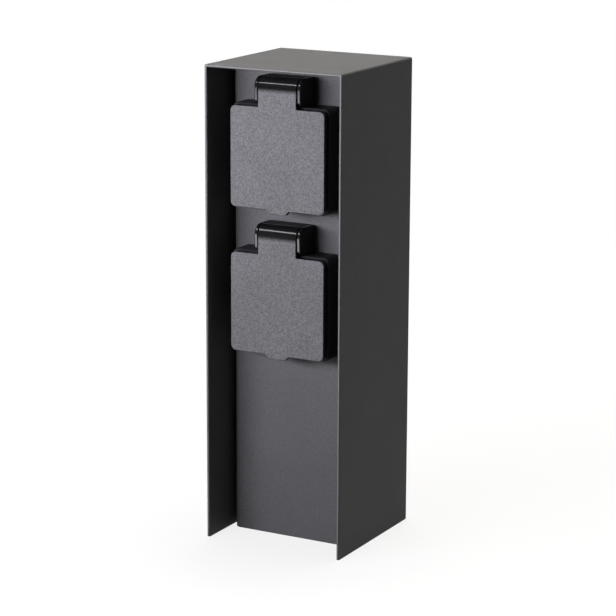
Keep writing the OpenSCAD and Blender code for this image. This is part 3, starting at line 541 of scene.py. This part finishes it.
# Socket frames: satin black polyamide mouldings, screwed through a rubber gasket to the panel.
# At the top, two polished ears and a block between them carry the lid's hinge.
FRAME_W, FRAME_H, FRAME_CORNER, FRAME_OUT, GASKET = 56.8, 55, 3, 13, 1
FRAME_RIM, FRAME_BACK_RIM, GASKET_RIM, GASKET_BACK_RIM, GASKET_IN = 0.5, 0.2, 0.2, 0.1, 1
BORE_R, COLLAR_R, COLLAR_DEPTH, HEAD_R, HEAD_SEAT = 21.65, 23.6, 3, 3.175, 6
HINGE_Y, HINGE_Z, HINGE_TOP, BARREL_R, BARREL_ROOM = -11.5, 36.5, 42, 5.5, 0.4
EAR_IN, EAR_OUT, EAR_FOOT, EAR_CORNER, EAR_RIM = 11.4, 13.6, 23.5, 1.3, 0.7
CHIN_IN, CHIN_Z, THROAT_Z, THROAT_R = 0.5, 29.6, 27.1, 0.5  # the ear's underside in front
BLOCK_Y, BLOCK_DROP, BLOCK_LAP, SET_IN = -8, 0.15, 0.2, 0.05  # block, let into ears and plate
PIN_R, PIN_LEFT, PIN_RIGHT = 1.5, -15, 12.8
ROUND_STEPS, HOLLOW_STEPS = 72, 24
NEAR, SIDEWARD = 0.3, 0.8  # what counts as near a face, and as looking sideways
satin = surface(
    "satin black moulding", (0.018, 0.018, 0.0195), rough=0.5,
    specular=0.15, grain=0.6, mottle=0.2, depth=0.02,
)
polished = surface(
    "polished black moulding", (0.008, 0.008, 0.009), rough=0.15,
    specular=0.5, grain=4, mottle=0.12, depth=0.004, cloud=0.1,
)


def circle(u, v, r, steps):
    """Closed outline of a round hole, clockwise, so that the material lies on its left."""
    angles = [-math.tau * k / steps for k in range(steps)]
    return [Vector((u + r * math.cos(a), v + r * math.sin(a))) for a in angles]


def box_outline(w, h, r):
    """Closed outline of a box about the middle, with rounded corners."""
    return rounded([(-w / 2, -h / 2, r), (w / 2, -h / 2, r), (w / 2, h / 2, r), (-w / 2, h / 2, r)])


def hinge_block():
    """Side outline of the block between the ears, hollowed to leave room for the lid's barrel."""
    front, rear, top = SET_IN - FRAME_OUT, -GASKET - 2 * SET_IN, HINGE_TOP - BLOCK_DROP
    room = BARREL_R + BARREL_ROOM
    first, last = math.acos((BLOCK_Y - HINGE_Y) / room), -math.acos((front - HINGE_Y) / room)
    angles = [first + (last - first) * k / HOLLOW_STEPS for k in range(HOLLOW_STEPS + 1)]
    hollow = [(HINGE_Y + room * math.cos(a), HINGE_Z + room * math.sin(a)) for a in angles]
    back = [(front, EAR_FOOT), (rear, EAR_FOOT), (rear, top), (BLOCK_Y, top)]
    return [Vector(p) for p in back + hollow]


def socket_frame(z):
    """Frame plate joined with its ears and hinge block, and drilled for screws, collar and pin."""
    flat, across = facing("y", (0, PANEL_Y, z)), facing("x", (0, PANEL_Y, z))
    outline, bore = box_outline(FRAME_W, FRAME_H, FRAME_CORNER), circle(0, 0, BORE_R, ROUND_STEPS)
    plate = slab(
        bmesh.new(), outline, [bore], -FRAME_OUT, -GASKET, flat, FRAME_RIM, FRAME_BACK_RIM,
    )
    front, rear, nose = SET_IN - FRAME_OUT, -GASKET - SET_IN, HINGE_Y - BARREL_R
    ear = rounded([
        (front, EAR_FOOT, EAR_CORNER), (rear, EAR_FOOT, EAR_CORNER), (rear, HINGE_TOP, EAR_CORNER),
        (nose, HINGE_TOP, BARREL_R - 2 * HAIR), (nose + CHIN_IN, CHIN_Z, EAR_CORNER),
        (front, THROAT_Z, THROAT_R),
    ], steps=10)
    ears = [
        slab(bmesh.new(), ear, [], low, high, across, EAR_RIM, EAR_RIM, steps=4)
        for low, high in ((-EAR_OUT, -EAR_IN), (EAR_IN, EAR_OUT))
    ]
    half = EAR_IN + BLOCK_LAP
    block = slab(bmesh.new(), hinge_block(), [], -half, half, across)
    body = combine(plate, ears + [block], "UNION")
    screw = [(HEAD_R, -FRAME_OUT - 1), (HEAD_R, -HEAD_SEAT), (SCREW_R, -HEAD_SEAT), (SCREW_R, 0)]
    cutters = [
        turned(bmesh.new(), screw, facing("y", (x, PANEL_Y, z + up)), steps=30)
        for x, up in FLANGE_SCREWS
    ]
    cutters.append(drill(COLLAR_R, -COLLAR_DEPTH, 0, flat, ROUND_STEPS))
    pin = facing("x", (0, PANEL_Y + HINGE_Y, z + HINGE_Z))
    cutters.append(drill(PIN_R, PIN_LEFT, PIN_RIGHT, pin, steps=32))
    return combine(body, cutters, "DIFFERENCE")


for name, z in SOCKETS.items():
    body = socket_frame(z)
    surround = piece(name + "_frame", body, polished, "root", [name + "_frame"])
    surround.data.materials.append(satin)
    for face in surround.data.polygons:
        below_ears = face.center.z < (z + FRAME_H / 2 + NEAR) * MM
        between_ears = abs(face.center.x) < (EAR_IN - NEAR) * MM
        if below_ears or between_ears or abs(face.normal.x) > SIDEWARD:
            face.material_index = 1
    outline = box_outline(FRAME_W - GASKET_IN, FRAME_H - GASKET_IN, FRAME_CORNER)
    holes = [circle(0, 0, COLLAR_R, ROUND_STEPS)]
    holes += [circle(x, up, SCREW_R, steps=24) for x, up in FLANGE_SCREWS]
    flat = facing("y", (0, PANEL_Y, z))
    mat = slab(bmesh.new(), outline, holes, -GASKET, 0, flat, GASKET_RIM, GASKET_BACK_RIM)
    piece(name + "_gasket", mat, rubber, "root", [name + "_gasket"])
    dress(zinc, 0.12, name + "_flange_screws")

# Plug wells and contacts: a polished black cup with two pin holes and side ribs, held by its
# collar, and behind it a housing with brass contacts. Brass earth tongues reach into the cup.
cup_black = surface(
    "polished black cup", (0.018, 0.018, 0.019), rough=0.24,
    specular=0.5, grain=3, mottle=0.12, depth=0.004,
)
dark_moulding = surface(
    "dark moulding", (0.04, 0.04, 0.042), rough=0.5, grain=0.8, mottle=0.1, depth=0.01,
)
for name in SOCKETS:
    dress(cup_black, 0.25, name + "_plug_well")
    dress(dark_moulding, 0.3, name + "_contact_housing")
    dress(brass, 0.1, name + "_line_contact", name + "_neutral_contact", name + "_earth_contact")
    dress(zinc, 0.1, name + "_terminal_screws", name + "_housing_screws")

# Lids: black polyamide plates with a finely grained face and polished edges. The neck runs up into
# a hinge barrel between the frame's ears, and a tab at the foot takes a finger.
LID_W, LID_H, LID_FRONT, LID_BACK, LID_CORNER = 55.2, 53.2, -17, -14, 3
LID_RIM, LID_BACK_RIM = 0.6, 0.3
NECK_W, NECK_RISE, NECK_FOOT_R, NECK_TOP_R = 22.4, 0.9, 0.5, 0.7
TAB_W, TAB_DROP, TAB_SLOPE, TAB_TOP_R, TAB_FOOT_R = 13.8, 2.2, 2, 0.5, 0.8
BARREL_RIM, LID_BORE_R, SPRING_BORE_R, SPRING_ROOM = 0.4, 1.55, 3.55, 7
GROOVE_IN, GROOVE_OUT, GROOVE = 21.55, 23.85, 1
SEAL_CLEAR, SEAL_SHOULDER, SEAL_CROWN, CROWN_HALF, CROWN_FALL = 0.05, -13.6, -13, 0.7, 0.15
PAINTED_SHADE_FROM, PAINTED_SHADE_TO, POLISH_START = 34, 36.2, 37.5  # heights above the socket's middle
PAINTED_SHADE_LEFT, GRAIN_FACE = 0.01, -0.75  # colour left where the painted shade is darkest; normals that are grained
lid_black = surface(
    "polished lid edge", (0.008, 0.008, 0.009), rough=0.15,
    specular=0.5, grain=3, mottle=0.12, depth=0.004,
)


def grain_with_painted_shade(name, shade_from, shade_to):
    """Grained finish whose colour darkens upwards between two heights, painted shade where the neck
    turns back over the barrel before the polish begins.
    """
    material = surface(
        name, (0.144, 0.144, 0.147), rough=0.55,
        specular=0.15, grain=0.75, mottle=0.44, depth=0.16, cloud=0.06,
    )
    tree = material.node_tree
    colour = tree.nodes["Principled BSDF"].inputs["Base Color"]
    height = tree.nodes.new("ShaderNodeSeparateXYZ")
    tree.links.new(tree.nodes["Texture Coordinate"].outputs["Object"], height.inputs[0])
    dimmed = tree.nodes.new("ShaderNodeVectorMath")
    dimmed.operation = "SCALE"
    tree.links.new(colour.links[0].from_socket, dimmed.inputs[0])
    painted_shade = ramp(tree, height.outputs["Z"], (shade_from, shade_to), (1, PAINTED_SHADE_LEFT))
    tree.links.new(painted_shade, dimmed.inputs["Scale"])
    tree.links.new(dimmed.outputs[0], colour)
    return material


def lid(z):
    """Lid plate with its neck and tab, joined with its hinge barrel, bored, and grooved behind."""
    flat = facing("y", (0, PANEL_Y, z))
    hinge = facing("x", (0, PANEL_Y + HINGE_Y, z + HINGE_Z))
    w, h, neck, tab = LID_W / 2, LID_H / 2, NECK_W / 2, TAB_W / 2
    tab_tip, tab_foot, neck_top = tab - TAB_SLOPE, -h - TAB_DROP, HINGE_Z + NECK_RISE
    outline = rounded([
        (-w, -h, LID_CORNER), (-tab, -h, TAB_TOP_R), (-tab_tip, tab_foot, TAB_FOOT_R),
        (tab_tip, tab_foot, TAB_FOOT_R), (tab, -h, TAB_TOP_R), (w, -h, LID_CORNER),
        (w, h, LID_CORNER), (neck, h, NECK_FOOT_R), (neck, neck_top, NECK_TOP_R),
        (-neck, neck_top, NECK_TOP_R), (-neck, h, NECK_FOOT_R), (-w, h, LID_CORNER),
    ], steps=8)
    plate = slab(
        bmesh.new(), outline, [], LID_FRONT, LID_BACK, flat, LID_RIM, LID_BACK_RIM, steps=4,
    )
    ends = [
        (BARREL_R - BARREL_RIM, -neck), (BARREL_R - 0.3 * BARREL_RIM, 0.3 * BARREL_RIM - neck),
        (BARREL_R, BARREL_RIM - neck),
    ]
    barrel = turned(bmesh.new(), ends + [(r, -x) for r, x in ends[::-1]], hinge, steps=64)
    whole = combine(plate, [barrel], "UNION")
    step = neck - SPRING_ROOM
    bore = [
        (LID_BORE_R, -neck - 1), (LID_BORE_R, step), (SPRING_BORE_R, step),
        (SPRING_BORE_R, neck + 1),
    ]
    deep, clear = LID_BACK - GROOVE, LID_BACK + 1
    groove = [(GROOVE_IN, deep), (GROOVE_OUT, deep), (GROOVE_OUT, clear), (GROOVE_IN, clear)]
    cutters = [turned(bmesh.new(), bore, hinge, steps=32)]
    cutters.append(turned(bmesh.new(), groove, flat, ROUND_STEPS, ring=True))
    return combine(whole, cutters, "DIFFERENCE")


seal_in, seal_out, seal_foot = GROOVE_IN + SEAL_CLEAR, GROOVE_OUT - SEAL_CLEAR, LID_BACK - GROOVE
seal_mid, slope = (seal_in + seal_out) / 2, SEAL_CROWN - CROWN_FALL
seal_section = [
    (seal_in, seal_foot), (seal_out, seal_foot), (seal_out, SEAL_SHOULDER),
    (seal_mid + CROWN_HALF, slope), (seal_mid, SEAL_CROWN), (seal_mid - CROWN_HALF, slope),
    (seal_in, SEAL_SHOULDER),
]
for name, z in SOCKETS.items():
    body = name + "_lid"
    blank = lid(z)
    polish_start = (z + POLISH_START) * MM
    bmesh.ops.bisect_plane(
        blank, geom=blank.verts[:] + blank.edges[:] + blank.faces[:], dist=1e-7,
        plane_co=(0, 0, polish_start), plane_no=(0, 0, 1),
    )
    cover = piece(body, blank, lid_black, body, [body])
    # The grained face's colour darkens towards the barrel: painted shade.
    shade_from, shade_to = (z + PAINTED_SHADE_FROM) * MM, (z + PAINTED_SHADE_TO) * MM
    cover.data.materials.append(grain_with_painted_shade(name + " lid face, grained", shade_from, shade_to))
    for face in cover.data.polygons:
        on_front = face.center.y < (PANEL_Y + LID_FRONT + NEAR) * MM
        if on_front and face.normal.y < GRAIN_FACE and face.center.z < polish_start:
            face.material_index = 1
    ring = turned(bmesh.new(), seal_section, facing("y", (0, PANEL_Y, z)), steps=96, ring=True)
    piece(name + "_lid_seal", ring, rubber, body, [name + "_lid_seal"])

# Hinges: a bright steel pin through both ears and the lid's barrel, and a torsion spring wound
# round it in the barrel's right end, with one leg in the ear, which swings the lid shut.
SPRING_R, SPRING_WIRE, SPRING_TURNS, SPRING_PITCH, SPRING_START = 2.6, 0.35, 4, 1.2, 5.15
TURN_STEPS, LEG_ENDS = 8, (10.65, 12.7)  # points to a turn, and where the leg runs to
bright = surface(
    "bright steel", (0.6, 0.6, 0.61), rough=0.25,
    metal=1.0, grain=0.8, mottle=0.05, depth=0.002, cloud=0.06,
)
for name, z in SOCKETS.items():
    dress(bright, 0.15, name + "_hinge_pin")
    y, height = PANEL_Y + HINGE_Y, z + HINGE_Z
    coil = []
    for k in range(SPRING_TURNS * TURN_STEPS + 1):
        x, angle = SPRING_START + SPRING_PITCH * k / TURN_STEPS, math.tau * k / TURN_STEPS
        coil.append((x, y + SPRING_R * math.cos(angle), height + SPRING_R * math.sin(angle)))
    leg = [(x, y + SPRING_R, height) for x in LEG_ENDS]
    spring = name + "_lid_spring"
    strand(spring, [coil + leg], SPRING_WIRE, bright, spring)

# Studio: a pale floor that keeps the post's soft shadow, its glow dimmed near the post as painted
# shade, a white backdrop before a dim room, a soft lamp and a card close to the front, a strip lamp
# for thin highlights, and a lamp overhead.
WHITE, ROOM_COLOUR, ROOM_LIGHT = (1, 1, 1, 1), (0.95, 0.97, 1, 1), 0.024
BACKDROP_Y, BACKDROP_Z = (-0.2, 0.1), (0.6, 0.35)  # directions from dim to white
BACKDROP_LEFT = 0.06  # share of white that is left where it is dim
PAPER = (0.14, 0.14, 0.14, 1)
DIM_GLOW_REACH, DIM_GLOW_LEVELS = (0.08, 0.5), (0.82, 1.0)  # metres from the post, and the floor's glow there, dimmer near the post: painted shade round its foot
FLOOR_SIDE, FLOOR_FRONT, FLOOR_BACK = 6, -0.25, 6


def white_to_eye(tree):
    """1 for rays that look at the background, straight or by way of a shiny surface; else 0."""
    path = tree.nodes.new("ShaderNodeLightPath")
    seen = path.outputs["Is Camera Ray"]
    for kind in ("Is Glossy Ray", "Is Transmission Ray"):
        seen = joined(tree, "MAXIMUM", seen, path.outputs[kind])
    return seen


studio = bpy.data.worlds.new("studio")
studio.use_nodes = True
sky = studio.node_tree
dim = sky.nodes["Background"]
dim.inputs["Color"].default_value = ROOM_COLOUR
dim.inputs["Strength"].default_value = ROOM_LIGHT
white = sky.nodes.new("ShaderNodeBackground")
white.inputs["Color"].default_value = WHITE
toward = sky.nodes.new("ShaderNodeTexCoord")
parts = sky.nodes.new("ShaderNodeSeparateXYZ")
sky.links.new(toward.outputs["Generated"], parts.inputs[0])
behind = ramp(sky, parts.outputs["Y"], BACKDROP_Y, (BACKDROP_LEFT, 1))
low = ramp(sky, parts.outputs["Z"], BACKDROP_Z, (BACKDROP_LEFT, 1))
straight = sky.nodes.new("ShaderNodeLightPath").outputs["Is Camera Ray"]
backdrop = joined(sky, "MAXIMUM", joined(sky, "MULTIPLY", behind, low), straight)
choose = sky.nodes.new("ShaderNodeMixShader")
sky.links.new(joined(sky, "MULTIPLY", white_to_eye(sky), backdrop), choose.inputs["Fac"])
sky.links.new(dim.outputs[0], choose.inputs[1])
sky.links.new(white.outputs[0], choose.inputs[2])
sky.links.new(choose.outputs[0], sky.nodes["World Output"].inputs["Surface"])
bpy.context.scene.world = studio

paper = bpy.data.materials.new("paper")
paper.use_nodes = True
tree = paper.node_tree
pale = tree.nodes["Principled BSDF"]
pale.inputs["Base Color"].default_value = PAPER
pale.inputs["Roughness"].default_value = 1
pale.inputs["Specular IOR Level"].default_value = 0
pale.inputs["Emission Color"].default_value = WHITE
spot = tree.nodes.new("ShaderNodeTexCoord")
reach = tree.nodes.new("ShaderNodeVectorMath")
reach.operation = "LENGTH"
tree.links.new(spot.outputs["Object"], reach.inputs[0])
# The floor's glow is dimmed near the post so the lamps' shadow shows; the dimming is itself painted
# shade round the foot.
glow_dimmed_near_post = ramp(tree, reach.outputs["Value"], DIM_GLOW_REACH, DIM_GLOW_LEVELS)
glow = joined(tree, "MULTIPLY", white_to_eye(tree), glow_dimmed_near_post)
tree.links.new(glow, pale.inputs["Emission Strength"])
floor_mesh = bpy.data.meshes.new("floor")
floor_mesh.from_pydata([
    (-FLOOR_SIDE, FLOOR_FRONT, 0), (FLOOR_SIDE, FLOOR_FRONT, 0),
    (FLOOR_SIDE, FLOOR_BACK, 0), (-FLOOR_SIDE, FLOOR_BACK, 0),
], [], [(0, 1, 2, 3)])
floor_mesh.materials.append(paper)
floor = bpy.data.objects.new("floor", floor_mesh)
bpy.context.scene.collection.objects.link(floor)


def lamp(name, place, target, size, power, colour, spread=180, lights=True, mirrored=True):
    """Soft flat lamp that faces its target. It lights surfaces, shows in shiny ones, or both."""
    light = bpy.data.lights.new(name, "AREA")
    light.shape = "RECTANGLE"
    light.size, light.size_y = size
    light.spread = math.radians(spread)
    light.energy = power
    light.color = colour
    holder = bpy.data.objects.new(name, light)
    holder.visible_camera = False
    holder.visible_diffuse = lights
    holder.visible_glossy = mirrored
    holder.location = place
    holder.rotation_euler = (Vector(target) - Vector(place)).to_track_quat("-Z", "Y").to_euler()
    bpy.context.scene.collection.objects.link(holder)


lamp(
    "front_lamp", (-0.26, -0.53, 0.29), (-0.1, -0.12, 0.65), size=(0.5, 0.2), power=8.4,
    colour=(0.93, 0.905, 1), mirrored=False,
)
lamp(
    "front_card", (-0.28, -0.53, 0.047), (0, 0, 0.2), size=(0.5, 0.165), power=1.55,
    colour=(0.98, 0.97, 1), lights=False,
)
lamp(
    "strip_lamp", (-0.54, -0.66, 0.96), (0, -0.03, 0.2), size=(1.0, 0.15), power=4.5,
    colour=(1, 0.99, 0.98), lights=False,
)
lamp(
    "overhead_lamp", (0, 0.15, 1.1), (0, 0, 0.25), size=(0.6, 0.6), power=1.5,
    colour=(1, 0.95, 0.89), spread=45,
)

bpy.context.scene.view_settings.view_transform = "Standard"
